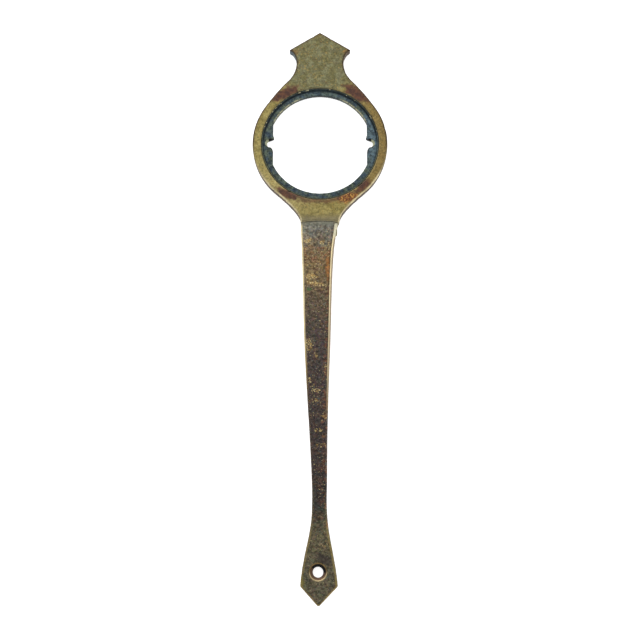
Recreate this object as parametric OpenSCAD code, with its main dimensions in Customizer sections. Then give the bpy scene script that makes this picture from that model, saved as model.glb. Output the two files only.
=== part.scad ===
// Flat brass ring key: a pointed head with a lugged ring, lapped and brazed to a long tapering handle.
// The origin is on the ring's axis in the plane of the back, +Y runs to the pointed end, +Z to the front face.

/* [Head] */
// Thickness of the head plate
head_t = 4.5; // [4:0.1:6]
// Outer radius of the ring
ring_r = 29.7; // [28.5:0.1:31]
// Distance from the ring's axis to the pointed end
apex_y = 52.8; // [50:0.1:58]
// Distance from the ring's axis to the two ears of the tab
ear_y = 44.3; // [44:0.1:46]
// Half the width across the ears
ear_x = 13.7; // [13:0.1:15]
// Half the width of the tab's waist
waist_x = 10.4; // [9.5:0.1:11]
// Distance from the ring's axis to the waist
waist_y = 38.4; // [37.5:0.1:39]
// Half the width of the neck
neck_x = 8.3; // [8:0.1:9]
// Distance from the ring's axis to the neck line
neck_y = 36; // [35:0.1:38]

/* [Lug ring] */
// Outer radius of the lug ring, which is the bore of the head
lug_ring_r = 26; // [25.8:0.1:26.5]
// Radius of the seat that the cap drops into
seat_r = 25.4; // [25:0.1:25.4]
// Radius of the opening through the web
web_r = 22.8; // [22:0.1:23.5]
// Half the distance between the two flats
flat_x = 20.8; // [20:0.1:21.5]
// Thickness of the web between the two seats
web_t = 1.8; // [1:0.1:2.2]
// How far the ring's rims stay below the faces of the head
rim_inset = 0.25; // [0.1:0.05:0.5]
// Distance from the ring's axis to the bottom of each notch
notch_x = 23.4; // [23:0.1:23.8]
// Height of the notch's upper edge above the ring's axis, at its mouth
notch_mouth = 2.4; // [2.2:0.1:2.8]
// How far the tooth beside each notch stands in from the flat
tooth = 0.5; // [0.2:0.1:0.8]

/* [Handle] */
// Length of the handle from the neck line to its tip
handle_l = 162.8; // [155:0.1:175]
// Thickness of the handle at the neck
handle_neck_t = 4.1; // [3.6:0.1:4.4]
// Thickness of the handle at its tail
handle_tail_t = 3.4; // [3:0.1:4]
// Width of the bevel along the right edge
right_bevel = 1.2; // [0.8:0.1:1.5]
// Width of the bevel along the left edge
left_bevel = 0.6; // [0.4:0.1:1]

/* [Lap joint] */
// Length of the tongue under the handle
tongue_l = 6.2; // [5:0.1:10]
// Thickness of the tongue
tongue_t = 2; // [1.6:0.1:2.4]
// Thickness of the brazing metal
braze_t = 0.15; // [0.1:0.01:0.2]
// Radius of the crowned neck line
crown_r = 50; // [45:1:55]

/* [Hanging eyelet] */
// Radius of the hole to hang the key by
hang_r = 2.3; // [2:0.05:2.5]
// Wall thickness of the eyelet
eyelet_wall = 0.5; // [0.4:0.05:0.6]
// Outer radius of the eyelet's flared ends
flare_r = 3.95; // [3.7:0.05:4.2]
// Depth of each flared end
flare_h = 0.9; // [0.7:0.05:1.1]

/* [Hidden] */
$fn = 96;
cut = 1;                             // how far a cutter runs past what it cuts
curve_steps = 12;
neck_fillet_start = 50;              // degrees below the X axis where the ring runs into the neck
neck_fillet_pulls = [8, 3];          // how strongly the neck's curve leaves the ring and meets the neck
neck_right_step = 0.85;              // the tongue's right edge stands this far in from the neck's
neck_left_step = 0.1;
neck_step_l = 2;                     // and reaches that step this far below the neck line
crown_rise = 0.4;                    // the middle of the neck line stands this far nearer the ring
crown_y = -neck_y + crown_rise - crown_r;
tip_y = -neck_y - handle_l;
back_bevel = 0.4;
cuts_down_handle = 43;
cuts_to_tip = 3;
barrel_r = hang_r + eyelet_wall;
pocket_l = tongue_l + braze_t;       // the handle's pocket has room for the film at the tongue's end
lap_w = 4 * neck_x;                  // wider than anything in the lap joint
hang_x = -0.8;
hang_from_tip = 13.5;
hang_y = tip_y + hang_from_tip;
tail_t = handle_tail_t + (handle_neck_t - handle_tail_t) * hang_from_tip / handle_l;

// Stations down the handle: part of its length, left edge, right edge
stations = [
    [-0.02, -8.3, 8.2], [0.035, -8.1, 6.85], [0.077, -7.8, 5.95], [0.16, -7.35, 5.15], [0.32, -6.65, 4.4],
    [0.48, -5.2, 3.4], [0.585, -4.15, 3.0], [0.69, -3.3, 2.85], [0.745, -3.2, 2.7], [0.785, -3.45, 3.0],
    [0.823, -4.4, 3.8], [0.88, -6.35, 5.5], [0.92, -7.5, 6.65], [0.952, -8.0, 7.2], [1, -0.9, -0.4]
];
shoulder = len(stations) - 2;

function bezier(a, b, c, d, steps = curve_steps) =
    [for (i = [0:steps]) let (u = i / steps, v = 1 - u)
        v * v * v * a + 3 * v * v * u * b + 3 * v * u * u * c + u * u * u * d];
function arc(centre, r, from, to, steps = curve_steps) =
    [for (i = [0:steps]) let (t = from + (to - from) * i / steps) centre + r * [cos(t), sin(t)]];
function mirrored(points) = [for (i = [len(points) - 1:-1:0]) [-points[i][0], points[i][1]]];

// The station before which part u of the length falls
function span_of(u) = min(max([for (i = [0:len(stations) - 2]) if (stations[i][0] <= u) i]), len(stations) - 2);
// Slope of column k at station i, flat past the ends; the shoulder keeps the slope that leads up to it
function slope(i, k) =
    let (a = max(i - 1, 0), b = i >= shoulder ? i : i + 1)
    (stations[b][k] - stations[a][k]) / (stations[b][0] - stations[a][0]);
// Column k of the stations at part u of the length, on a smooth curve above the shoulder and straight below it
function along(u, k) =
    let (i = span_of(u), p = stations[i], q = stations[i + 1], w = q[0] - p[0], v = (u - p[0]) / w)
    i >= shoulder ? p[k] + (q[k] - p[k]) * v
    : (2 * v * v * v - 3 * v * v + 1) * p[k] + (v * v * v - 2 * v * v + v) * w * slope(i, k)
      + (3 * v * v - 2 * v * v * v) * q[k] + (v * v * v - v * v) * w * slope(i + 1, k);

// Outline of one cross-section of the handle at part u of its length, as [x, z] pairs
function section(u) =
    let (l = along(u, 1), r = along(u, 2), w = r - l,
         t = handle_neck_t + (handle_tail_t - handle_neck_t) * u,
         bl = min(left_bevel * (1 - 0.4 * u), w * 0.2), br = min(right_bevel * (1 - 0.65 * u), w * 0.2),
         bb = min(back_bevel, w * 0.2))
    [[l + bb, 0], [r - bb, 0], [r, bb], [r, t - br], [r - br, t], [l + bl, t], [l, t - bl], [l, bb]];

// The parts of the handle's length at which a cross-section is drawn, with one on the shoulder and one on the tip
above_shoulder = [for (i = [0:cuts_down_handle - 1])
    stations[0][0] + (stations[shoulder][0] - stations[0][0]) * i / cuts_down_handle];
below_shoulder = [for (i = [0:cuts_to_tip])
    stations[shoulder][0] + (1 - stations[shoulder][0]) * i / cuts_to_tip];

module handle_bar() {
    cuts = concat(above_shoulder, below_shoulder);
    n = 8;
    points = [for (u = cuts) for (p = section(u)) [p[0], -neck_y - handle_l * u, p[1]]];
    last = (len(cuts) - 1) * n;
    sides = [for (i = [0:len(cuts) - 2]) for (j = [0:n - 1])
        let (a = i * n + j, b = i * n + (j + 1) % n)
        each [[a, b, b + n], [a, b + n, a + n]]];
    polyhedron(points, concat([[for (j = [n - 1:-1:0]) j]], sides, [[for (j = [0:n - 1]) last + j]]));
}

// Outline of the tab's right side, from the ring up past the waist to the ear
function tab_side() =
    let (hollow_r = 12.5, hollow_angle = 46, ear_hollow_r = 8, ear_hollow_angle = 40,
         ring_angle = 35, ring_pull = 5, hollow_pull = 5,
         start = ring_r * [cos(ring_angle), sin(ring_angle)],
         hollow = arc([waist_x + hollow_r, waist_y], hollow_r, 180 + hollow_angle, 180, 8),
         ear_hollow = arc([waist_x + ear_hollow_r, waist_y], ear_hollow_r, 180, 180 - ear_hollow_angle, 6))
    concat(bezier(start, start + ring_pull * [-sin(ring_angle), cos(ring_angle)],
                  hollow[0] + hollow_pull * [sin(hollow_angle), -cos(hollow_angle)], hollow[0]),
           [for (i = [1:len(hollow) - 1]) hollow[i]], [for (i = [1:len(ear_hollow) - 1]) ear_hollow[i]],
           [[ear_x, ear_y]]);

module tab() {
    side = tab_side();
    linear_extrude(head_t)
        polygon(concat([[0, 0]], side, [[0, apex_y]], mirrored(side)));
}

module neck() {
    start = ring_r * [cos(neck_fillet_start), -sin(neck_fillet_start)];
    leave = [-sin(neck_fillet_start), -cos(neck_fillet_start)];
    end = [neck_x, -neck_y];
    right_side = bezier(start, start + neck_fillet_pulls[0] * leave, end + [0, neck_fillet_pulls[1]], end);
    tongue_y = -neck_y - tongue_l;
    right_x = neck_x - neck_right_step;
    left_x = neck_x - neck_left_step;
    corner = 1;
    linear_extrude(head_t)
        polygon(concat([[0, 0]], right_side,
                       [[right_x, -neck_y - neck_step_l], [right_x, tongue_y + corner],
                        [right_x - corner, tongue_y], [corner - neck_x, tongue_y], [-left_x, tongue_y + corner]],
                       mirrored(right_side)));
}

module head() {
    color("#8e8250")
    difference() {
        union() {
            cylinder(r = ring_r, h = head_t);
            tab();
            neck();
        }
        translate([0, 0, -cut]) cylinder(r = lug_ring_r, h = head_t + 2 * cut);
        translate([0, crown_y, tongue_t]) cylinder(r = crown_r, h = head_t);
    }
}

module web_opening(h) {
    intersection() {
        cylinder(r = web_r, h = h);
        translate([-flat_x, -web_r, 0]) cube([2 * flat_x, 2 * web_r, h]);
    }
}

// A notch with a near-level upper edge, a round bottom and a lower corner that runs into the flat
module notch(h) {
    bottom_r = 1.6;
    bottom_y = 0.2;
    sweep = 75;
    corner_y = -3.8;
    corner_pull = 1.3;
    mouth_x = flat_x - tooth;
    bottom = arc([notch_x - bottom_r, bottom_y], bottom_r, sweep, -sweep);
    end = bottom[len(bottom) - 1];
    corner = bezier(end, end - [corner_pull / 2, 0], [flat_x, corner_y + corner_pull], [flat_x, corner_y]);
    linear_extrude(h)
        polygon(concat([[mouth_x - cut, notch_mouth], [mouth_x, notch_mouth]], bottom, corner,
                       [[mouth_x - cut, corner_y]]));
}

// The sloping bottom of a notch, wider at the front of the web
module notch_slope() {
    back_r = 1;
    front_r = 2;
    translate([notch_x - back_r, back_r / 2, 0]) {
        cylinder(r1 = back_r, r2 = front_r, h = web_t);
        translate([0, 0, web_t]) cylinder(r = front_r, h = cut);
    }
}

module notch_tooth(h) {
    tip_h = 0.5;
    base_h = 1.9;
    linear_extrude(h)
        polygon([[flat_x + cut, notch_mouth], [flat_x - tooth, notch_mouth],
                 [flat_x - tooth, notch_mouth + tip_h], [flat_x, notch_mouth + base_h],
                 [flat_x + cut, notch_mouth + base_h]]);
}

module lug_ring() {
    web_z = (head_t - web_t) / 2;
    color("#34454f")
    difference() {
        union() {
            difference() {
                translate([0, 0, rim_inset]) cylinder(r = lug_ring_r, h = head_t - 2 * rim_inset);
                translate([0, 0, -cut]) cylinder(r = seat_r, h = web_z + cut);
                translate([0, 0, web_z + web_t]) cylinder(r = seat_r, h = head_t);
                translate([0, 0, web_z - cut]) web_opening(web_t + 2 * cut);
            }
            for (side = [0, 1]) mirror([side, 0, 0]) translate([0, 0, web_z]) notch_tooth(web_t);
        }
        for (side = [0, 1]) mirror([side, 0, 0]) {
            translate([0, 0, web_z - cut]) notch(web_t + 2 * cut);
            translate([0, 0, web_z]) notch_slope();
        }
    }
}

// Space above the tongue and inside a crowned end of radius r, from z up
module lapped(r, z, length) {
    intersection() {
        translate([-lap_w / 2, -neck_y - length, z]) cube([lap_w, length + lap_w / 2, 2 * head_t]);
        translate([0, crown_y, z]) cylinder(r = r, h = 2 * head_t);
    }
}

module handle() {
    color("#4b4038")
    difference() {
        handle_bar();
        translate([-lap_w / 2, -neck_y - pocket_l, -cut])
            cube([lap_w, pocket_l + lap_w, tongue_t + braze_t + cut]);
        difference() {
            translate([-lap_w / 2, -neck_y - tongue_l, tongue_t]) cube([lap_w, tongue_l + lap_w, head_t]);
            translate([0, crown_y, 0]) cylinder(r = crown_r - braze_t, h = 2 * head_t);
        }
        translate([hang_x, hang_y, 0]) eyelet_seat();
    }
}

// Bore and countersinks in the handle that the eyelet fills
module eyelet_seat() {
    translate([0, 0, -cut]) cylinder(r = barrel_r, h = tail_t + 2 * cut);
    cylinder(r1 = flare_r, r2 = barrel_r, h = flare_h);
    translate([0, 0, -cut]) cylinder(r = flare_r, h = cut);
    translate([0, 0, tail_t - flare_h]) cylinder(r1 = barrel_r, r2 = flare_r, h = flare_h);
    translate([0, 0, tail_t]) cylinder(r = flare_r, h = cut);
}

// The film of brazing metal in the lap: over the tongue, past its end, and up the crowned shoulder
module neck_braze() {
    color("#77724e")
    intersection() {
        handle_bar();
        difference() {
            union() {
                lapped(crown_r, tongue_t, pocket_l);
                translate([-lap_w / 2, -neck_y - pocket_l, -cut]) cube([lap_w, braze_t, tongue_t + 2 * cut]);
            }
            lapped(crown_r - braze_t, tongue_t + braze_t, pocket_l + cut);
        }
    }
}

module hang_eyelet() {
    lip = 0.45;
    front = bezier([hang_r, tail_t - flare_h], [hang_r, tail_t - 0.4 * flare_h],
                   [flare_r - 2 * lip, tail_t - 0.2 * flare_h], [flare_r - lip, tail_t], 6);
    back = [for (p = front) [p[0], tail_t - p[1]]];
    color("#a58f58")
    translate([hang_x, hang_y, 0])
        rotate_extrude()
            polygon(concat([for (i = [len(back) - 1:-1:0]) back[i]], front,
                           [[flare_r, tail_t], [barrel_r, tail_t - flare_h], [barrel_r, flare_h], [flare_r, 0]]));
}

head();
lug_ring();
handle();
neck_braze();
hang_eyelet();
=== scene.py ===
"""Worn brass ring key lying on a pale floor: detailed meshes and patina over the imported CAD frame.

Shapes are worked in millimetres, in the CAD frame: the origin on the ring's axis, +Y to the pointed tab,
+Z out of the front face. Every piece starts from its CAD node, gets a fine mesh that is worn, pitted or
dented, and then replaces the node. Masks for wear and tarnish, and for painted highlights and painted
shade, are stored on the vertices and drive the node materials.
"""

import math

import bmesh
import bpy
import numpy as np
from mathutils import Matrix, Vector


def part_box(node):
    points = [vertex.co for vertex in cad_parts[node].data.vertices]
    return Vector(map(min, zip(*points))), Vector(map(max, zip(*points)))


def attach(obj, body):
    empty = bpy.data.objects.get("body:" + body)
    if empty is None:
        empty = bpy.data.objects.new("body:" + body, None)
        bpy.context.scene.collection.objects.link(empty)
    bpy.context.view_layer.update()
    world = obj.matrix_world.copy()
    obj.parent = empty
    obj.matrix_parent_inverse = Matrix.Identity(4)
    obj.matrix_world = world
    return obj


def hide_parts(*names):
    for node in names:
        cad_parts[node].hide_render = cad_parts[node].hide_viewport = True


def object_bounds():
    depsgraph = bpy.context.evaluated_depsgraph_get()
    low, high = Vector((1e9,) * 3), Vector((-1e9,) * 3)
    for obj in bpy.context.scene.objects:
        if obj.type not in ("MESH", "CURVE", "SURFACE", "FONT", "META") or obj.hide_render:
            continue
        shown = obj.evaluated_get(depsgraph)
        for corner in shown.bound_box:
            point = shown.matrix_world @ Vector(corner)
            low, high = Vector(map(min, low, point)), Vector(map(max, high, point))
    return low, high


MM = 0.001

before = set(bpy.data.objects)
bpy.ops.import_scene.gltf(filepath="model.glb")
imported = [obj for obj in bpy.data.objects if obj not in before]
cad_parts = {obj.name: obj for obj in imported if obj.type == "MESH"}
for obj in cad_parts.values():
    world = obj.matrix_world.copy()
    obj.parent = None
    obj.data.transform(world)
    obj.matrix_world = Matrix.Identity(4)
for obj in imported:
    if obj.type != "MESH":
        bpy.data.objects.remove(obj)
cad_low, cad_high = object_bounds()
scene = bpy.context.scene


# ---------------------------------------------------------------- numbers along the key, in mm
def box_mm(node):
    low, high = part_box(node)
    return np.array(low) / MM, np.array(high) / MM


eyelet_low, eyelet_high = box_mm("hang_eyelet")
HEAD_T = box_mm("head")[1][2]
LINER_R = box_mm("lug_ring")[1][0]  # outer radius of the lug ring
RIM_R = 25.2                        # the rims of the lug ring lie outside this radius
WEB_R = 24.0                        # the edge of the web's opening lies inside this radius
FLAT_X = 21.0                       # from the axis to the opening's flats
NOTCH_X, NOTCH_Y = 22.4, 0.4        # middle of the right notch; the left one mirrors it
NECK_Y = -36.0                      # upper end of the handle, on the neck
TIP_Y = box_mm("handle")[0][1]
HANDLE_L = NECK_Y - TIP_Y
EYELET = (eyelet_low + eyelet_high) / 2


# ---------------------------------------------------------------- noise and masks on points
PRIMES = [np.uint64(prime) for prime in (374761393, 668265263, 2246822519, 3266489917)]
LOW_32_BITS = np.uint64(0xFFFFFFFF)
LOW_16_BITS = np.uint64(0xFFFF)


def lattice(cell, seed):
    """A number from -1 to 1 for each whole-number cell, always the same for the same seed."""
    x, y, z = (cell[:, i].astype(np.uint64) for i in range(3))
    h = x * PRIMES[0] + y * PRIMES[1] + z * PRIMES[2]
    h = (h + np.uint64(seed * int(PRIMES[3]) % 2**32)) & LOW_32_BITS
    h = ((h ^ (h >> np.uint64(15))) * PRIMES[2]) & LOW_32_BITS
    h = ((h ^ (h >> np.uint64(13))) * PRIMES[3]) & LOW_32_BITS
    h = h ^ (h >> np.uint64(16))
    return (h & LOW_16_BITS).astype(float) / (int(LOW_16_BITS) / 2) - 1


def noise(points, size, seed, octaves=1):
    """Smooth noise from about -1 to 1 with bumps of that size in mm."""
    total, weight, norm = 0.0, 1.0, 0.0
    for octave in range(octaves):
        q = points / size + 1000.0 + 17.3 * octave
        base = np.floor(q)
        t = q - base
        t = t * t * (3 - 2 * t)
        cell = base.astype(np.int64)
        value = 0.0
        for corner in range(8):
            step = np.array([corner & 1, corner >> 1 & 1, corner >> 2 & 1])
            w = np.prod(np.where(step, t, 1 - t), axis=1)
            value = value + w * lattice(cell + step, seed + 101 * octave)
        total = total + weight * value
        norm += weight
        size, weight = size / 2, weight * 0.5
    return total / norm


def step_between(low, high, x):
    """0 below low, 1 above high and smooth between; low may be above high."""
    t = np.clip((x - low) / (high - low), 0, 1)
    return t * t * (3 - 2 * t)


def ellipse(points, centre, radii, turn, ragged, seed):
    """1 inside an ellipse on the XY plane, turned by that many degrees, with a ragged rim."""
    a = math.radians(turn)
    d = points[:, :2] - np.array(centre)
    along = (d[:, 0] * math.cos(a) + d[:, 1] * math.sin(a)) / radii[0]
    across = (-d[:, 0] * math.sin(a) + d[:, 1] * math.cos(a)) / radii[1]
    r = np.sqrt(along**2 + across**2) + ragged * noise(points, 1.6, seed, 3)
    return step_between(1.25, 0.65, r)


# ---------------------------------------------------------------- meshes
JOIN_DISTANCE = 1e-4


def cad_copy(node):
    """An editable copy of a CAD node's mesh, scaled to mm and with its doubled points joined."""
    bm = bmesh.new()
    bm.from_mesh(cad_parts[node].data)
    bmesh.ops.scale(bm, vec=Vector((1 / MM,) * 3), verts=bm.verts)
    bmesh.ops.remove_doubles(bm, verts=bm.verts, dist=JOIN_DISTANCE)
    return bm


def as_mesh(bm, name):
    mesh = bpy.data.meshes.new(name)
    bm.to_mesh(mesh)
    bm.free()
    return mesh


def remeshed(node, voxel, soften):
    """A CAD node's mesh, remeshed at a fine even pitch and smoothed in that many rounds."""
    raw = as_mesh(cad_copy(node), "raw")
    holder = bpy.data.objects.new("raw", raw)
    scene.collection.objects.link(holder)
    remesh = holder.modifiers.new("remesh", "REMESH")
    remesh.mode = "VOXEL"
    remesh.voxel_size = voxel
    graph = bpy.context.evaluated_depsgraph_get()
    w = Worked(bpy.data.meshes.new_from_object(holder.evaluated_get(graph)))
    bpy.data.objects.remove(holder)
    bpy.data.meshes.remove(raw)
    w.relax(soften)
    return w


class Worked:
    """A mesh with its points in mm, ready to be pushed, dented and masked."""

    def __init__(self, mesh):
        self.mesh = mesh
        self.edges = np.empty(len(mesh.edges) * 2, np.int32)
        mesh.edges.foreach_get("vertices", self.edges)
        self.edges = self.edges.reshape(-1, 2)
        co = np.empty(len(mesh.vertices) * 3)
        mesh.vertices.foreach_get("co", co)
        self.co = co.reshape(-1, 3)
        self.valence = np.bincount(self.edges.ravel(), minlength=len(self.co)).clip(1)
        self.write()

    def average(self, values):
        """Each vertex's mean over its neighbours."""
        a, b = self.edges.T
        values = values.reshape(len(self.co), -1)
        n = len(self.co)
        out = [
            np.bincount(a, values[b, k], n) + np.bincount(b, values[a, k], n)
            for k in range(values.shape[1])
        ]
        out = np.stack(out, 1) / self.valence[:, None]
        return out if out.shape[1] > 1 else out[:, 0]

    def relax(self, rounds):
        """Smooths the remesh's small steps, and swells back most of what that takes off the corners."""
        shrink, swell = 0.5, 0.42
        for _ in range(rounds):
            self.co += shrink * (self.average(self.co) - self.co)
            self.co -= swell * (self.average(self.co) - self.co)
        self.write()

    def swell(self, depth):
        """Pushes the walls out, to give back what the smoothing took off the outline."""
        self.push(depth * step_between(0.3, 0.8, 1 - np.abs(self.normal[:, 2])))

    def blur(self, values, rounds):
        for _ in range(rounds):
            values = 0.5 * (values + self.average(values))
        return values

    def write(self):
        self.mesh.vertices.foreach_set("co", self.co.ravel())
        self.mesh.update()
        n = np.empty(len(self.co) * 3)
        self.mesh.vertex_normals.foreach_get("vector", n)
        self.normal = n.reshape(-1, 3)

    def bend(self):
        """How far each vertex stands out from its neighbours in mm: above 0 on edges, below 0 in corners."""
        out = np.einsum("ij,ij->i", self.co - self.average(self.co), self.normal)
        return self.blur(out, 2)

    def push(self, depth):
        self.co += self.normal * depth[:, None]
        self.write()

    def dent(self, rng, where, count, radius, depth):
        """Small dents at seeded random vertices of a mask; returns how deep each vertex went."""
        chosen = rng.choice(np.flatnonzero(where), count, replace=False)
        total = np.zeros(len(self.co))
        for i in chosen:
            r = rng.uniform(*radius)
            d = np.linalg.norm((self.co - self.co[i]) * (1, rng.uniform(0.6, 1.4), 1), axis=1)
            total = np.maximum(total, rng.uniform(*depth) * np.clip(1 - (d / r) ** 2, 0, 1) ** 1.5)
        self.push(-total)
        return total

    def store(self, **masks):
        for name, values in masks.items():
            attribute = self.mesh.attributes.new(name, "FLOAT", "POINT")
            attribute.data.foreach_set("value", np.clip(values, 0, 1).astype(np.float32))

    def finish(self, node, slot, material):
        """Turns the mesh into the piece that replaces the node, on the key's one rigid body."""
        self.mesh.transform(Matrix.Scale(MM, 4))
        self.mesh.shade_smooth()
        self.mesh.name = node + "_worn"
        self.mesh.materials.clear()
        self.mesh.materials.append(material)
        piece = bpy.data.objects.new(node + "_worn", self.mesh)
        scene.collection.objects.link(piece)
        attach(piece, "root")
        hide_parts(node)


# ---------------------------------------------------------------- node materials
COLOUR_A, COLOUR_B, COLOUR_OUT = 6, 7, 2    # a Mix node's sockets for colours
NUMBER_A, NUMBER_B, NUMBER_OUT = 2, 3, 0    # and for plain numbers
METALLIC_BRASS = 0.9
METALLIC_PATINA = 0.7


def srgb(r, g, b):
    """A screen colour given in 0-255 steps, as the linear colour that Blender mixes."""
    c = np.array([r, g, b]) / 255
    c = np.where(c <= 0.04045, c / 12.92, ((c + 0.055) / 1.055) ** 2.4)
    return (*c.tolist(), 1.0)


class Graph:
    """Builds one node material from short calls. Sockets and plain numbers can be mixed freely."""

    def __init__(self, name):
        self.material = bpy.data.materials.new(name)
        self.material.use_nodes = True
        self.tree = self.material.node_tree
        self.tree.nodes.clear()
        self.place = self.new("ShaderNodeTexCoord").outputs["Object"]

    def new(self, kind, **settings):
        made = self.tree.nodes.new(kind)
        for key, value in settings.items():
            setattr(made, key, value)
        return made

    def put(self, socket, value):
        if isinstance(value, bpy.types.NodeSocket):
            self.tree.links.new(value, socket)
        else:
            socket.default_value = value

    def math(self, operation, a, b, c=0.0):
        made = self.new("ShaderNodeMath", operation=operation)
        for socket, value in zip(made.inputs, (a, b, c)):
            self.put(socket, value)
        return made.outputs[0]

    def times(self, a, b):
        return self.math("MULTIPLY", a, b)

    def between(self, x, low, high, to_low=0.0, to_high=1.0):
        made = self.new("ShaderNodeMapRange", interpolation_type="SMOOTHSTEP")
        for key, value in (("Value", x), ("From Min", low), ("From Max", high)):
            self.put(made.inputs[key], value)
        made.inputs["To Min"].default_value = to_low
        made.inputs["To Max"].default_value = to_high
        return made.outputs["Result"]

    def mask(self, name):
        return self.new("ShaderNodeAttribute", attribute_name=name).outputs["Fac"]

    def moved(self, stretch, shift):
        made = self.new("ShaderNodeMapping")
        self.put(made.inputs["Vector"], self.place)
        made.inputs["Scale"].default_value = stretch
        made.inputs["Location"].default_value = shift
        return made.outputs[0]

    def noise(self, size, seed, detail=3.0, rough=0.55, twist=0.0, stretch=(1, 1, 1)):
        """Noise from 0 to 1 with bumps of about that size in mm; each seed reads another place."""
        made = self.new("ShaderNodeTexNoise")
        shift = (0.137 * seed, 0.071 * seed, 0.053 * seed)
        self.put(made.inputs["Vector"], self.moved(stretch, shift))
        made.inputs["Scale"].default_value = 1 / (size * MM)
        made.inputs["Detail"].default_value = detail
        made.inputs["Roughness"].default_value = rough
        made.inputs["Distortion"].default_value = twist
        return made.outputs["Fac"]

    def mix(self, fac, a, b):
        made = self.new("ShaderNodeMix", data_type="RGBA")
        for socket, value in ((0, fac), (COLOUR_A, a), (COLOUR_B, b)):
            self.put(made.inputs[socket], value)
        return made.outputs[COLOUR_OUT]

    def blend(self, fac, a, b):
        """The same for plain numbers."""
        made = self.new("ShaderNodeMix", data_type="FLOAT")
        for socket, value in ((0, fac), (NUMBER_A, a), (NUMBER_B, b)):
            self.put(made.inputs[socket], value)
        return made.outputs[NUMBER_OUT]

    def ramp(self, fac, stops):
        made = self.new("ShaderNodeValToRGB")
        self.put(made.inputs[0], fac)
        elements = made.color_ramp.elements
        while len(elements) < len(stops):
            elements.new(0.5)
        for element, (at, colour) in zip(elements, stops):
            element.position = at
            element.color = colour
        return made.outputs[0]

    def shade(self, colour, low, high, size, seed):
        """Darkens and lightens a colour by fine noise, between two factors."""
        factor = self.between(self.noise(size, seed, detail=4.0, rough=0.65), 0.36, 0.64, low, high)
        made = self.new("ShaderNodeMix", data_type="RGBA", blend_type="MULTIPLY")
        made.inputs[0].default_value = 1.0
        self.put(made.inputs[COLOUR_A], colour)
        combine = self.new("ShaderNodeCombineColor")
        for socket in combine.inputs:
            self.put(socket, factor)
        self.put(made.inputs[COLOUR_B], combine.outputs[0])
        return made.outputs[COLOUR_OUT]

    def finish(self, colour, roughness, metallic, height, depth, specular=0.35, glow=0.0):
        """The shader, with bump of that depth in mm."""
        bump = self.new("ShaderNodeBump")
        bump.inputs["Strength"].default_value = 1.0
        bump.inputs["Distance"].default_value = depth * MM
        self.put(bump.inputs["Height"], height)
        surface = self.new("ShaderNodeBsdfPrincipled")
        self.put(surface.inputs["Base Color"], colour)
        self.put(surface.inputs["Roughness"], roughness)
        self.put(surface.inputs["Metallic"], metallic)
        surface.inputs["Specular IOR Level"].default_value = specular
        surface.inputs["Emission Color"].default_value = (1, 1, 1, 1)
        surface.inputs["Emission Strength"].default_value = glow
        self.put(surface.inputs["Normal"], bump.outputs[0])
        out = self.new("ShaderNodeOutputMaterial")
        self.put(out.inputs["Surface"], surface.outputs[0])
        return self.material


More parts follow.
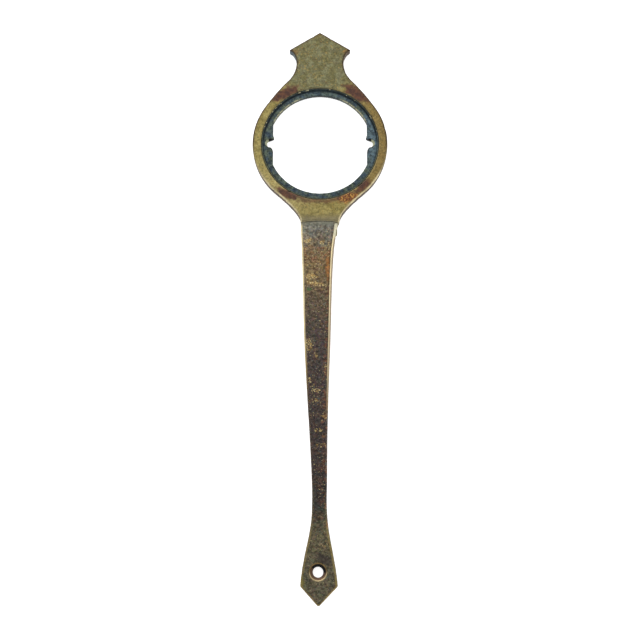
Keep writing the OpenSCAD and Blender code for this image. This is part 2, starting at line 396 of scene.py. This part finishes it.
def head_material():
    """Rubbed olive-yellow brass, greyer on the tab, with purple-brown heat marks round the ring and painted
    light and shade.
    """
    g = Graph("head_brass")
    coarse = g.noise(3.2, 1)
    fine = g.noise(0.9, 2, detail=4.0, rough=0.7)
    tone = g.between(coarse, 0.35, 0.65)
    brass = g.mix(tone, srgb(129, 117, 69), srgb(150, 138, 86))
    tab = g.mix(tone, srgb(98, 94, 62), srgb(114, 113, 84))
    dusky = g.between(g.noise(2.2, 45, detail=4.0), 0.5, 0.66, 0.0, 0.35)
    tab = g.mix(dusky, tab, srgb(88, 78, 64))
    brass = g.mix(g.times(g.mask("pale"), 0.6), brass, srgb(164, 150, 102))
    colour = g.mix(g.mask("tab"), brass, tab)
    colour = g.mix(g.times(g.mask("warm"), 0.9), colour, srgb(114, 90, 54))
    colour = g.shade(colour, 0.74, 1.27, 0.8, 3)
    specks = g.between(g.noise(0.65, 16, detail=2.0), 0.58, 0.68)
    specks = g.times(specks, g.between(g.noise(5, 4), 0.4, 0.6, 0.3, 0.9))
    colour = g.mix(g.times(specks, 0.8), colour, srgb(84, 84, 62))
    warm_specks = g.times(g.between(g.noise(0.7, 17, detail=2.0), 0.6, 0.68), 0.6)
    colour = g.mix(warm_specks, colour, srgb(160, 132, 74))
    mark = g.mask("tarnish")
    marked = g.mix(g.between(g.noise(1.4, 5), 0.38, 0.62), srgb(78, 56, 54), srgb(108, 74, 60))
    colour = g.mix(g.times(mark, g.between(fine, 0.22, 0.42, 0.55, 0.95)), colour, marked)
    rust = g.shade(srgb(132, 84, 50), 0.5, 1.5, 0.9, 19)
    colour = g.mix(g.times(g.mask("orange"), 0.55), colour, rust)
    orange = g.times(g.mask("orange"), g.between(g.noise(0.8, 6, detail=2.0), 0.5, 0.6))
    colour = g.mix(g.times(orange, 0.8), colour, srgb(206, 158, 84))
    grey = g.shade(srgb(124, 117, 96), 0.85, 1.15, 0.7, 10)
    colour = g.mix(g.times(g.mask("neck_grey"), 0.7), colour, grey)
    # the walls are darkened partly by patina and partly as painted shade
    wall_tone = g.between(g.noise(1.8, 7), 0.35, 0.65)
    wall = g.mix(wall_tone, srgb(52, 44, 36), srgb(86, 66, 46))
    cool = g.mix(wall_tone, srgb(46, 58, 66), srgb(74, 86, 90))
    wall = g.mix(g.mask("cool"), wall, cool)
    colour = g.mix(g.mask("side"), colour, wall)
    # painted shade in creases and in the dents
    colour = g.mix(g.times(g.mask("cavity"), 0.45), colour, srgb(34, 32, 28))
    # painted highlight: cream on the lower outer edges, with a faint rubbed line on every edge
    edge = g.times(g.mask("edge"), g.between(g.noise(1.1, 8), 0.25, 0.5, 0.45, 1.0))
    colour = g.mix(edge, colour, srgb(232, 218, 174))
    # painted shade: a dark reflection line along the upper outer edges
    colour = g.mix(g.mask("edge_dark"), colour, srgb(66, 52, 38))
    scratches = g.noise(0.35, 9, rough=0.6, stretch=(1, 0.12, 1))
    height = g.math("ADD", g.times(fine, 0.6), g.times(scratches, 0.4))
    rough = g.blend(g.between(fine, 0.3, 0.7), 0.36, 0.5)
    rough = g.blend(mark, rough, 0.55)
    rough = g.blend(g.mask("side"), rough, 0.6)
    metallic = g.blend(g.mask("side"), METALLIC_BRASS, 0.5)
    return g.finish(colour, rough, metallic, height, depth=0.05)


def ring_material():
    """Blue-green to navy patina in the recess, darkened near its wall by painted shade, with worn grey-green
    rims, cream nicks, painted highlights and painted shadows.
    """
    g = Graph("ring_patina")
    coarse = g.noise(2.4, 11)
    fine = g.noise(0.7, 12, detail=4.0, rough=0.7)
    patina = g.mix(g.between(coarse, 0.35, 0.65), srgb(56, 70, 80), srgb(84, 94, 80))
    patina = g.mix(g.times(g.mask("blue"), 0.7), patina, srgb(84, 104, 116))
    patina = g.shade(patina, 0.5, 1.5, 0.95, 13)
    patina = g.mix(g.between(fine, 0.6, 0.72), patina, srgb(112, 118, 92))
    # painted shade: darker near the rim wall, most at the top of the recess
    colour = g.mix(g.mask("deep"), patina, g.shade(srgb(46, 58, 64), 0.6, 1.3, 0.9, 34))
    colour = g.mix(g.mask("rim"), colour, g.shade(srgb(88, 92, 74), 0.65, 1.25, 0.9, 14))
    # painted shade in the creases
    colour = g.mix(g.times(g.mask("cavity"), 0.7), colour, srgb(18, 24, 32))
    # painted highlight, partly wear, on the upper edge of the web's opening
    edge = g.times(g.mask("edge"), g.between(g.noise(0.9, 15), 0.35, 0.55, 0.1, 1.0))
    colour = g.mix(edge, colour, srgb(198, 194, 158))
    colour = g.mix(g.mask("nick"), colour, srgb(222, 212, 168))
    colour = g.mix(g.mask("slope"), colour, g.shade(srgb(164, 166, 136), 0.75, 1.15, 0.7, 18))
    # painted shadow on the notch walls facing down, the opening's upper wall and a band low on the opening
    colour = g.mix(g.mask("dark_wall"), colour, srgb(28, 28, 28))
    rough = g.blend(g.between(fine, 0.3, 0.7), 0.42, 0.58)
    return g.finish(colour, rough, METALLIC_PATINA, fine, depth=0.05)


def handle_material():
    """Dark brown patina mottled plum, moss and gilt, worn to cream brass and painted with a highlight along
    the right bevel.
    """
    g = Graph("handle_patina")
    fine = g.noise(0.9, 21, detail=5.0, rough=0.7)
    medium = g.noise(3.4, 22, detail=6.0, rough=0.68, twist=0.4)
    wander = g.between(g.noise(4, 23), 0.2, 0.8, -0.02, 0.02)
    # down runs from 0 at the handle's upper end to 1 at its tip, with a ragged course across it
    place = g.new("ShaderNodeSeparateXYZ")
    g.put(place.inputs[0], g.place)
    down = g.math("MULTIPLY_ADD", place.outputs["Y"], -1 / (HANDLE_L * MM), NECK_Y / HANDLE_L)
    down = g.math("ADD", down, wander)
    ground = g.ramp(down, [
        (0.0, srgb(136, 128, 108)), (0.045, srgb(130, 120, 100)), (0.065, srgb(124, 106, 78)),
        (0.09, srgb(126, 98, 68)), (0.14, srgb(134, 114, 78)), (0.185, srgb(104, 86, 68)),
        (0.28, srgb(82, 68, 60)), (0.4, srgb(70, 56, 56)), (0.62, srgb(70, 56, 54)),
        (0.73, srgb(48, 40, 40)), (0.77, srgb(60, 58, 50)), (0.84, srgb(108, 98, 74)),
        (0.92, srgb(94, 86, 70)), (1.0, srgb(108, 92, 72))])
    plum = g.ramp(down, [
        (0.0, srgb(112, 106, 108)), (0.1, srgb(122, 90, 76)), (0.3, srgb(72, 56, 66)),
        (0.75, srgb(50, 42, 48)), (0.82, srgb(100, 82, 70)), (1.0, srgb(96, 78, 70))])
    moss = g.ramp(down, [
        (0.0, srgb(96, 106, 88)), (0.1, srgb(112, 104, 62)), (0.3, srgb(72, 74, 54)),
        (0.75, srgb(46, 48, 42)), (0.82, srgb(100, 98, 66)), (1.0, srgb(92, 94, 62))])
    olive = g.ramp(down, [
        (0.0, srgb(106, 116, 116)), (0.05, srgb(102, 108, 100)), (0.1, srgb(118, 106, 74)),
        (0.3, srgb(68, 68, 60)), (0.6, srgb(56, 54, 52)), (0.75, srgb(54, 56, 50)),
        (0.8, srgb(78, 82, 64)), (1.0, srgb(84, 88, 68))])
    colour = g.mix(g.between(medium, 0.37, 0.65, 0.15, 0.85), ground, olive)
    colour = g.mix(g.between(g.noise(1.3, 46, detail=4.0, rough=0.65), 0.48, 0.6, 0.0, 0.6), colour, plum)
    colour = g.mix(g.between(g.noise(1.1, 47, detail=4.0, rough=0.65), 0.52, 0.62, 0.0, 0.6), colour, moss)
    red = g.times(g.between(g.noise(2.2, 24, detail=4.0, rough=0.65), 0.46, 0.62), g.mask("red"))
    colour = g.mix(g.times(red, 0.8), colour, srgb(118, 76, 54))
    colour = g.shade(colour, 0.5, 1.6, 1.1, 25)
    teal = g.times(g.between(g.noise(0.8, 26, detail=2.0), 0.62, 0.68), 0.6)
    colour = g.mix(teal, colour, srgb(96, 114, 108))
    gilding = g.mix(g.mask("rich"), srgb(140, 114, 70), srgb(184, 150, 88))
    gilding = g.shade(gilding, 0.55, 1.35, 0.7, 51)
    gilt = g.math("MULTIPLY_ADD", g.mask("gold"), 0.14, g.noise(1.1, 27, detail=4.0, rough=0.7))
    gilt = g.math("MULTIPLY_ADD", g.mask("rich"), 0.03, gilt)
    broken = g.between(g.noise(0.7, 48, detail=2.0), 0.4, 0.52, 0.15, 1.0)
    colour = g.mix(g.times(g.between(gilt, 0.6, 0.7, 0.0, 0.9), broken), colour, gilding)
    glitter = g.math("MULTIPLY_ADD", g.mask("gold"), 0.1, g.noise(0.6, 49, detail=2.0))
    glitter = g.math("MULTIPLY_ADD", g.mask("rich"), 0.03, glitter)
    colour = g.mix(g.between(glitter, 0.68, 0.73, 0.0, 0.9), colour, srgb(226, 206, 146))
    crumbs = g.between(g.noise(0.55, 31, detail=2.0), 0.64, 0.7)
    crumbs = g.times(crumbs, g.between(g.noise(4, 50), 0.4, 0.6, 0.2, 0.9))
    colour = g.mix(crumbs, colour, srgb(172, 162, 136))
    amber = g.times(g.mask("amber"), g.between(g.noise(1.0, 35, detail=4.0, rough=0.7), 0.38, 0.56))
    colour = g.mix(g.times(amber, 0.8), colour, srgb(180, 118, 58))
    ochre = g.shade(srgb(130, 122, 66), 0.7, 1.3, 0.9, 36)
    colour = g.mix(g.times(g.mask("yellow"), 0.7), colour, ochre)
    green = g.times(g.mask("green"), g.between(fine, 0.35, 0.5))
    colour = g.mix(green, colour, srgb(80, 104, 66))
    # the walls are darkened partly by patina and partly as painted shade
    wall = g.shade(srgb(72, 60, 46), 0.7, 1.3, 1.2, 28)
    colour = g.mix(g.times(g.mask("side"), 0.8), colour, wall)
    # painted shade in creases, along the right bevel's inner edge and in the pits
    colour = g.mix(g.times(g.mask("cavity"), 0.8), colour, srgb(36, 28, 26))
    stain = g.shade(srgb(58, 48, 50), 0.7, 1.3, 0.9, 37)
    colour = g.mix(g.times(g.mask("stain"), 0.6), colour, stain)
    tail_line = g.shade(srgb(158, 140, 80), 0.7, 1.2, 1.2, 38)
    colour = g.mix(g.times(g.mask("tail_line"), 0.75), colour, tail_line)
    # painted highlight along the bevels, on brass that is also rubbed bright there
    rubbed_and_glint = g.times(g.mask("edge"), g.between(g.noise(1.3, 29), 0.2, 0.42, 0.3, 1.0))
    bright = g.mix(g.mask("pale"), srgb(150, 126, 76), srgb(216, 200, 158))
    colour = g.mix(rubbed_and_glint, colour, bright)
    colour = g.mix(g.times(g.mask("brim"), 0.85), colour, srgb(112, 98, 86))
    lap_top = g.shade(srgb(120, 120, 104), 0.8, 1.15, 0.8, 39)
    colour = g.mix(g.times(g.mask("lap_top"), 0.7), colour, lap_top)
    lap_edge = g.shade(srgb(176, 174, 152), 0.85, 1.12, 0.8, 33)
    colour = g.mix(g.times(g.mask("lap_edge"), 0.8), colour, lap_edge)
    rough = g.blend(g.between(fine, 0.3, 0.7), 0.42, 0.6)
    rough = g.blend(g.mask("edge"), rough, 0.34)
    metallic = g.blend(g.mask("edge"), 0.6, 0.95)
    height = g.math("ADD", g.times(fine, 0.7), g.times(g.noise(0.5, 30, detail=2.0), 0.3))
    return g.finish(colour, rough, metallic, height, depth=0.07)


def braze_material():
    """Grey braze, dull and grainy, with a little copper colour left."""
    g = Graph("braze")
    fine = g.noise(0.5, 31, detail=4.0, rough=0.7)
    colour = g.mix(g.between(g.noise(1.6, 32), 0.35, 0.65), srgb(98, 96, 86), srgb(122, 118, 102))
    colour = g.mix(g.between(fine, 0.6, 0.75), colour, srgb(136, 120, 92))
    rough = g.blend(fine, 0.45, 0.7)
    return g.finish(colour, rough, METALLIC_PATINA, fine, depth=0.03)


def eyelet_material():
    """Gold rim worn bright with a painted highlight on its lower side, brown funnel, painted shade nearly
    black inside.
    """
    g = Graph("eyelet_brass")
    fine = g.noise(0.6, 41, detail=4.0, rough=0.7)
    colour = g.mix(g.between(g.noise(1.4, 42), 0.35, 0.65), srgb(96, 76, 48), srgb(128, 104, 62))
    colour = g.mix(g.mask("funnel"), colour, srgb(104, 82, 66))
    # painted shade: nearly black inside the hole and at the top of the funnel
    colour = g.mix(g.mask("deep"), colour, srgb(28, 30, 30))
    # painted highlight, partly rubbed brass, on the rim's lower side
    edge = g.times(g.mask("edge"), g.between(g.noise(1.2, 43), 0.3, 0.5, 0.45, 1.0))
    colour = g.mix(edge, colour, srgb(206, 186, 142))
    colour = g.shade(colour, 0.82, 1.15, 0.6, 44)
    rough = g.blend(fine, 0.3, 0.48)
    return g.finish(colour, rough, METALLIC_BRASS, fine, depth=0.03)


# ---------------------------------------------------------------- head
SWELL = 0.12            # how far the outline of head and handle is pushed back out
TAB_SPAN = (20, 27)     # along Y: the ring's brass turns into the tab's grey
LOWER_SPAN = (-8, -17)  # the outline gets its painted highlight, on partly rubbed brass
GREY_SPAN = (-31.5, -35.5)  # the neck turns grey towards the handle
# Heat marks: centre in mm, half length and half width, turn in degrees
HEAT_MARKS = [
    ((-15.6, 23.4), (6.4, 2.6), 28),
    ((16.4, 23.2), (6.2, 2.9), -28),
    ((-14.0, -23.6), (6.4, 2.3), -18),
    ((18.8, -19.4), (4.8, 2.2), 40),
    ((12.4, -25.0), (6.0, 2.2), 14),
    ((28.2, 13.0), (1.2, 5.5), 12),
]


def build_head():
    rng = np.random.default_rng(5)
    w = remeshed("head", voxel=0.3, soften=4)
    p = w.co.copy()
    bend = w.bend()
    convex = step_between(0.012, 0.04, bend)
    side = step_between(0.35, 0.75, 1 - np.abs(w.normal[:, 2]))
    radius = np.hypot(p[:, 0], p[:, 1])
    outer = step_between(LINER_R + 1, LINER_R + 2, radius)
    back = w.normal[:, 2] < -0.5
    back_pits = np.where(back, 0.05 * step_between(0.2, 0.7, noise(p, 1.1, 3, 2)), 0)
    w.swell(SWELL * outer)
    w.push(0.03 * noise(p, 6, 1, 2) + 0.02 * noise(p, 1.4, 2, 2) - back_pits)
    dents = w.dent(rng, convex > 0.5, count=46, radius=(0.5, 1.1), depth=(0.06, 0.2))
    flat = np.abs(w.normal[:, 2]) > 0.9
    dents += w.dent(rng, flat, count=30, radius=(0.3, 0.8), depth=(0.03, 0.08))
    marks = [ellipse(p, c, r, t, 0.55, 20 + i) for i, (c, r, t) in enumerate(HEAT_MARKS)]
    lower = step_between(*LOWER_SPAN, p[:, 1])
    line = step_between(0.3, 0.55, w.blur(convex, 2)) * step_between(0.1, 0.3, w.normal[:, 2])
    # The shoulder of the head against the rounded upper end of the handle
    crown = step_between(-34.6, -35.1, p[:, 1]) * step_between(8.2, 7.9, np.abs(p[:, 0]))
    patchy = 0.45 + 0.55 * step_between(-0.5, 0.3, noise(p, 5, 36, 2))
    # painted highlight on the lower outer edges, plus a little real wear on all convex edges
    glint = 1.1 * line * outer * (0.06 + 0.94 * lower * patchy) * (1 - crown) + 0.1 * convex
    near_ring = step_between(2.8, 1.2, radius - LINER_R + 0.8 * noise(p, 2.5, 35, 2))
    bottom = 1.3 * near_ring * step_between(-21, -24.5, p[:, 1])
    orange = ellipse(p, (13.0, -25.2), (5.2, 2.2), 14, 0.5, 31)
    orange += 0.5 * ellipse(p, (11.6, 43.5), (1.4, 1.0), 0, 0.3, 32)
    tan = ellipse(p, (-11.4, 43.2), (2.2, 1.4), 0, 0.3, 33)
    tab_from = p[:, 1] - 0.35 * np.maximum(np.abs(p[:, 0]) - 4, 0) + 2 * noise(p, 5, 8, 2)
    warm = 0.7 * step_between(8, 28, p[:, 0]) + 0.8 * tan + 0.5 * step_between(49, 53, p[:, 1])
    lower_left = step_between(4, -14, p[:, 0]) * step_between(-8, -18, p[:, 1])
    w.store(
        pale=lower_left * step_between(-34, -28, p[:, 1]),
        tab=step_between(*TAB_SPAN, tab_from),
        warm=warm,
        tarnish=np.maximum(np.max(marks, axis=0), 0.55 * bottom) * (w.normal[:, 2] > 0.3),
        orange=orange,
        # walls: patina and painted shade, kept off the highlighted lower edges and the neck's shoulder
        side=side * (1 - 0.75 * convex * lower) * (1 - 0.9 * crown),
        # painted shade in creases and dents, kept off the neck's shoulder
        cavity=step_between(-0.008, -0.03, bend) * (1 - crown) + step_between(0.05, 0.15, dents) * 0.6,
        # painted highlight on the lower outer edges, partly wear
        edge=glint,
        # painted shade along the upper outer edges
        edge_dark=w.blur(line, 2) * step_between(-8, 4, p[:, 1]) * outer * 1.2,
        cool=step_between(6, -6, p[:, 0]) * step_between(20, 34, p[:, 1]),
        neck_grey=step_between(*GREY_SPAN, p[:, 1] + 0.7 * noise(p, 3, 34, 2)),
    )
    w.finish("head", "head_brass", head_material())


# ---------------------------------------------------------------- lug ring
def build_ring():
    rng = np.random.default_rng(8)
    w = remeshed("lug_ring", voxel=0.25, soften=2)
    p = w.co.copy()
    bend = w.bend()
    convex = step_between(0.01, 0.03, bend)
    radius = np.hypot(p[:, 0], p[:, 1])
    w.push(0.025 * noise(p, 3, 41, 2) + 0.03 * noise(p, 0.9, 42, 2))
    rim = step_between(RIM_R, RIM_R + 0.4, radius) * (np.abs(p[:, 2] - HEAD_T / 2) > 1.7)
    rim_edge = (convex > 0.5) & (radius > 25)
    dents = w.dent(rng, rim_edge, count=26, radius=(0.4, 0.8), depth=(0.08, 0.2))
    upper = step_between(0, 6, p[:, 1])
    off_top = step_between(6, 11, np.abs(p[:, 0]))
    right = step_between(18, 23, p[:, 0] + 2 * noise(p, 4, 43, 2))
    beside_flats = step_between(FLAT_X, FLAT_X - 1, np.abs(p[:, 0]))
    notch = np.hypot(np.abs(p[:, 0]) - NOTCH_X, p[:, 1] - NOTCH_Y)
    tilt = 1 - np.abs(w.normal[:, 2])
    opening = step_between(0.4, 0.8, tilt) * (radius < WEB_R)
    # The web's band along its opening
    brink = step_between(0.03, 0.14, w.blur(tilt, 7)) * (radius < WEB_R)
    corner = brink * step_between(-0.4, -1.0, p[:, 1]) * step_between(-4.8, -4.0, p[:, 1])
    in_notch = step_between(3.2, 2.8, notch) * (np.abs(p[:, 0]) < 22.8)
    faces_down = step_between(-0.3, -0.6, w.normal[:, 1])
    nick = (rng.random(len(p)) < 0.01) & (radius > 25.1) & (p[:, 2] > 3.9) & (p[:, 1] > 4)
    w.store(
        # painted shade near the rim wall, strongest at the top
        deep=step_between(RIM_R - 0.8, RIM_R, radius) * (1 - rim * (1 - upper)) * (0.35 + 0.65 * upper),
        blue=right * step_between(-14, -6, p[:, 1]) + 0.4 * upper * step_between(17, 22, p[:, 1]),
        rim=rim * (0.35 + 0.65 * step_between(4, -10, p[:, 1])),
        # painted shade in the creases
        cavity=step_between(-0.006, -0.025, bend),
        # painted highlight on the opening's upper edge, partly wear
        edge=0.9 * brink * (1 - opening) * upper * off_top * beside_flats,
        slope=step_between(2.3, 1.6, notch) * (np.abs(p[:, 0]) > 22.0) * step_between(0.1, 0.3, tilt),
        # painted shadow on walls facing down and on the opening's upper wall
        dark_wall=in_notch * faces_down + opening * upper * (0.95 - 0.25 * off_top) + 0.85 * corner,
        nick=w.blur(nick * 4.5, 1) + step_between(0.1, 0.2, dents) * 0.3,
    )
    w.finish("lug_ring", "ring_patina", ring_material())


# ---------------------------------------------------------------- handle
# Clusters of gilt flecks below the streaks: centre and half sizes in mm
GILT_FLECKS = [
    ((-4.8, -90.5), (1.7, 2.6)), ((-2.0, -95.0), (1.3, 1.2)), ((-4.4, -106.0), (0.8, 1.2)),
    ((-1.9, -110.4), (1.6, 1.3)), ((-1.6, -114.6), (1.5, 0.9)), ((1.8, -121.5), (1.5, 1.4)),
    ((-0.4, -127.3), (2.0, 0.9)), ((0.2, -133.3), (2.8, 1.0)), ((2.6, -100.0), (0.8, 1.5)),
]
BEVEL_W = 1.15          # width of the right bevel at the neck
CELL_L = 1.0            # length of the slices in which the handle's two sides are found
# Down the handle, from 0 at its upper end to 1 at its tip
RIGHT_SPAN = (0.55, 0.36)   # the right bevel's rubbing and painted highlight fade out
LEFT_SPAN = (0.5, 0.35)     # the left edge's rubbing and painted highlight fade out
TAIL_SPAN = (0.78, 0.88)    # the bar turns into the tail


def side_lines(p):
    """How far each point is from the left and the right side of the handle at its own height."""
    order = np.arange(TIP_Y, NECK_Y + CELL_L, CELL_L)
    cell = np.clip(np.round((p[:, 1] - TIP_Y) / CELL_L).astype(int), 0, len(order) - 1)
    slices = [p[cell == i, 0] for i in range(len(order))]
    left = [found.min() if len(found) else 0 for found in slices]
    right = [found.max() if len(found) else 0 for found in slices]
    return p[:, 0] - np.interp(p[:, 1], order, left), np.interp(p[:, 1], order, right) - p[:, 0]


def build_handle():
    rng = np.random.default_rng(13)
    w = remeshed("handle", voxel=0.3, soften=3)
    p = w.co.copy()
    bend = w.bend()
    convex = step_between(0.008, 0.03, bend)
    w.swell(np.full(len(p), SWELL))
    from_left, from_right = side_lines(p)
    # 0 at the upper end, 1 at the tip
    down = (NECK_Y - p[:, 1]) / HANDLE_L
    front = step_between(0.2, 0.5, w.normal[:, 2])
    hole = np.hypot(p[:, 0] - EYELET[0], p[:, 1] - EYELET[1])
    calm = step_between(4.0, 5.5, hole)
    rough_zone = 0.5 + step_between(0.25, 0.1, down) * 0.8
    pits = step_between(0.15, 0.6, noise(p, 1.3, 51, 2)) * rough_zone * calm
    w.push(0.05 * noise(p, 9, 52, 2) * calm + 0.03 * noise(p, 1.6, 53, 2) * calm - 0.07 * pits)
    outline = (convex > 0.5) & (hole > 6)
    w.dent(rng, outline, count=70, radius=(0.5, 1.2), depth=(0.06, 0.22))
    faces_up = step_between(0.05, 0.4, w.normal[:, 2])
    right_w = BEVEL_W * (1 - 0.9 * down)
    on_right = step_between(right_w + 0.15, right_w - 0.15, from_right) * faces_up
    right_fade = step_between(*RIGHT_SPAN, down + 0.05 * noise(p, 8, 54))
    on_left = step_between(0.65, 0.4, from_left) * faces_up
    left_fade = step_between(*LEFT_SPAN, down)
    tail = step_between(*TAIL_SPAN, down)
    line = step_between(0.15, 0.5, w.blur(convex, 2)) * front
    # painted highlight and real rubbing along the bevels and edges
    edge = on_right * right_fade + on_left * left_fade + convex * 0.15 * front + line * tail * 0.25
    inset = [step_between(0.15, 0.4, d) * step_between(1.1, 0.75, d) for d in (from_left, from_right)]
    tail_line = (0.45 * inset[0] + inset[1]) * step_between(0.76, 0.84, down) * front
    # a painted line of shade along the right bevel's inner edge
    inner_line = step_between(0.35, 0.0, np.abs(from_right - right_w - 0.3)) * front * right_fade * 0.6
    flecks = [ellipse(p, c, r, 0, 0.7, 62 + i) for i, (c, r) in enumerate(GILT_FLECKS)]
    flecks = np.max(flecks, axis=0)
    band = ellipse(p, (-0.6, -50.5), (8.0, 4.0), 0, 0.4, 55)
    streaks = ellipse(p, (-3.8, -60.8), (2.5, 1.4), -10, 0.9, 56)
    streaks += ellipse(p, (-0.2, -64.2), (4.4, 0.8), -13, 0.9, 57)
    specks = ellipse(p, (-5.2, -44.6), (1.6, 1.1), 30, 0.9, 58)
    specks += ellipse(p, (0.8, -45.4), (1.3, 0.8), 0, 0.8, 59)
    below_lap = step_between(0.035, 0.055, down)
    below_line = 0.1 + 0.9 * step_between(0.008, 0.016, down)
    scattered = 0.25 * step_between(0.4, 0.05, down) + 0.3 * step_between(0.1, 0.6, noise(p, 5, 60))
    # the walls, which get painted shade as well as patina
    wall = step_between(0.4, 0.8, 1 - np.abs(w.normal[:, 2]))
    red_side = 0.8 * step_between(3.0, 1.4, from_right)
    # painted shade in the pits
    pit_shade = 0.5 * step_between(0.4, 0.9, pits)
    w.store(
        edge=edge,
        pale=right_fade * (from_right < from_left) + step_between(0.45, 0.25, down) * (from_left < 1.5),
        brim=step_between(0.72, 0.5, from_right) * right_fade * step_between(0.03, 0.05, down),
        lap_edge=on_right * step_between(0.045, 0.035, down),
        side=wall * (1 - on_right * right_fade) * step_between(0.0, 0.006, down),
        tail_line=tail_line * (0.6 + 0.6 * noise(p, 2.2, 93, 2)),
        stain=ellipse(p, (2.2, -180.4), (3.6, 1.7), -25, 0.4, 92),
        cavity=step_between(-0.006, -0.025, bend) * below_line + inner_line + pit_shade,
        amber=ellipse(p, (3.6, -57.0), (1.3, 5.5), 0, 0.5, 90),
        yellow=ellipse(p, (-7.3, -189.4), (1.1, 2.0), 0, 0.4, 91),
        red=np.clip(0.25 + 0.75 * band + red_side, 0, 1) * (1 - 0.85 * tail),
        gold=np.clip((scattered + streaks) * below_lap + specks + 0.8 * flecks, 0, 1) * front,
        rich=streaks + specks + 0.4 * flecks,
        green=ellipse(p, (-4.6, -66.3), (1.1, 0.8), 0, 0.4, 61) * front,
        lap_top=step_between(0.013, 0.007, down + 0.002 * noise(p, 2, 94, 2)) * front,
    )
    w.finish("handle", "handle_patina", handle_material())


# ---------------------------------------------------------------- hanging eyelet
EYELET_LINE_R = 3.6     # the ring round the funnel with the painted highlight, partly rubbed brass


def build_eyelet():
    w = remeshed("hang_eyelet", voxel=0.12, soften=2)
    p = w.co.copy()
    r = np.hypot(p[:, 0] - EYELET[0], p[:, 1] - EYELET[1])
    w.push(0.03 * noise(p, 1.8, 71, 2) + 0.015 * noise(p, 0.6, 72) + 0.15 * step_between(2.9, 2.5, r))
    depth = np.minimum(eyelet_high[2] - p[:, 2], p[:, 2])
    # the rim's lower side, which gets the painted highlight
    lit = step_between(0.8, -1.2, p[:, 1] - EYELET[1])
    # painted shade at the top of the funnel
    top_shade = step_between(0.2, 1.3, p[:, 1] - EYELET[1] + 0.35 * (p[:, 0] - EYELET[0]))
    line = step_between(0.4, 0.2, np.abs(r - EYELET_LINE_R)) * step_between(0.5, 0.3, depth)
    w.store(
        edge=line * (0.12 + 0.88 * lit),
        funnel=step_between(3.4, 3.2, r),
        deep=step_between(1.0, 1.6, depth) + step_between(3.4, 3.1, r) * top_shade,
    )
    w.finish("hang_eyelet", "eyelet_brass", eyelet_material())


# ---------------------------------------------------------------- braze in the lap joint
BRAZE_PITCH = 0.5       # longest edge left after the cuts


def build_braze():
    bm = cad_copy("neck_braze")
    for longest in (4.0, 2.0, 1.0, BRAZE_PITCH):
        long_edges = [e for e in bm.edges if e.calc_length() > longest]
        bmesh.ops.subdivide_edges(bm, edges=long_edges, cuts=1)
        bmesh.ops.triangulate(bm, faces=bm.faces)
    w = Worked(as_mesh(bm, "neck_braze"))
    p = w.co
    shown = np.maximum(step_between(3.6, 4.0, p[:, 2]), step_between(6.4, 7.0, np.abs(p[:, 0])))
    w.push(shown * (0.1 + 0.06 * noise(p, 0.9, 81, 2)))
    w.finish("neck_braze", "braze", braze_material())


# ---------------------------------------------------------------- floor, lights and camera
WORLD_STRENGTH = 0.55
# Area lights: name, place from the key's middle and size in metres, power in watts
LIGHTS = [
    ("key", (-0.2, 0.75, 0.8), (1.4, 1.0), 6.0),
    ("right_strip", (0.6, 0.0, 0.12), (0.6, 0.12), 0.35),
    ("front_strip", (0.0, -0.8, 0.2), (0.7, 0.12), 1.0),
]
VIEW_DISTANCE = 0.5     # camera to the point it looks at, in metres
VIEW_TILT = 12.4        # degrees that it stands over from straight above, towards the handle's tip
VIEW_PART = 0.528       # the point it looks at, as a part of the key's length down from the tab's point
LENS = 65.87            # focal length and sensor width in mm
SENSOR = 36.0
CLIP_NEAR, CLIP_FAR = 0.01, 20  # in metres
FLOOR_GLOW = 0.8        # the floor's own light, which keeps it near white without strong lamps
FLOOR_SIZE = 9.0        # half the floor's width
FLOOR_RISE = 1.0        # how far it curves up at its far edges, so that low views don't see past it


def build_floor():
    bm = bmesh.new()
    bmesh.ops.create_grid(bm, x_segments=64, y_segments=64, size=FLOOR_SIZE)
    for vert in bm.verts:
        vert.co.z = FLOOR_RISE * (vert.co.xy.length / FLOOR_SIZE) ** 4
    mesh = as_mesh(bm, "floor")
    floor = bpy.data.objects.new("floor", mesh)
    scene.collection.objects.link(floor)
    g = Graph("floor_paper")
    colour = g.shade(srgb(246, 246, 245), 0.99, 1.0, 40, 90)
    grain = g.noise(2.0, 91)
    paper = g.finish(colour, 0.9, 0.0, grain, depth=0.002, specular=0.1, glow=FLOOR_GLOW)
    mesh.materials.append(paper)


def build_lights():
    world = bpy.data.worlds.new("studio")
    scene.world = world
    world.use_nodes = True
    background = world.node_tree.nodes["Background"]
    background.inputs[0].default_value = (1.0, 1.0, 1.0, 1.0)
    background.inputs[1].default_value = WORLD_STRENGTH
    middle = Vector((0, (cad_low.y + cad_high.y) / 2, 0))
    for name, place, size, power in LIGHTS:
        light = bpy.data.lights.new(name, "AREA")
        light.shape = "RECTANGLE"
        light.size, light.size_y = size
        light.energy = power
        lamp = bpy.data.objects.new(name, light)
        lamp.location = middle + Vector(place)
        lamp.rotation_euler = (middle - lamp.location).to_track_quat("-Z", "Y").to_euler()
        scene.collection.objects.link(lamp)


def build_camera():
    length = cad_high.y - cad_low.y
    target = Vector((0, cad_high.y - VIEW_PART * length, cad_high.z))
    tilt = math.radians(VIEW_TILT)
    data = bpy.data.cameras.new("camera")
    data.sensor_width = SENSOR
    data.lens = LENS
    data.clip_start, data.clip_end = CLIP_NEAR, CLIP_FAR
    camera = bpy.data.objects.new("camera", data)
    camera.location = target + VIEW_DISTANCE * Vector((0, -math.sin(tilt), math.cos(tilt)))
    camera.rotation_euler = (tilt, 0, 0)
    scene.collection.objects.link(camera)
    scene.camera = camera


build_head()
build_ring()
build_handle()
build_eyelet()
build_braze()
build_floor()
build_lights()
build_camera()
scene.view_settings.view_transform = "Standard"
scene.view_settings.look = "None"
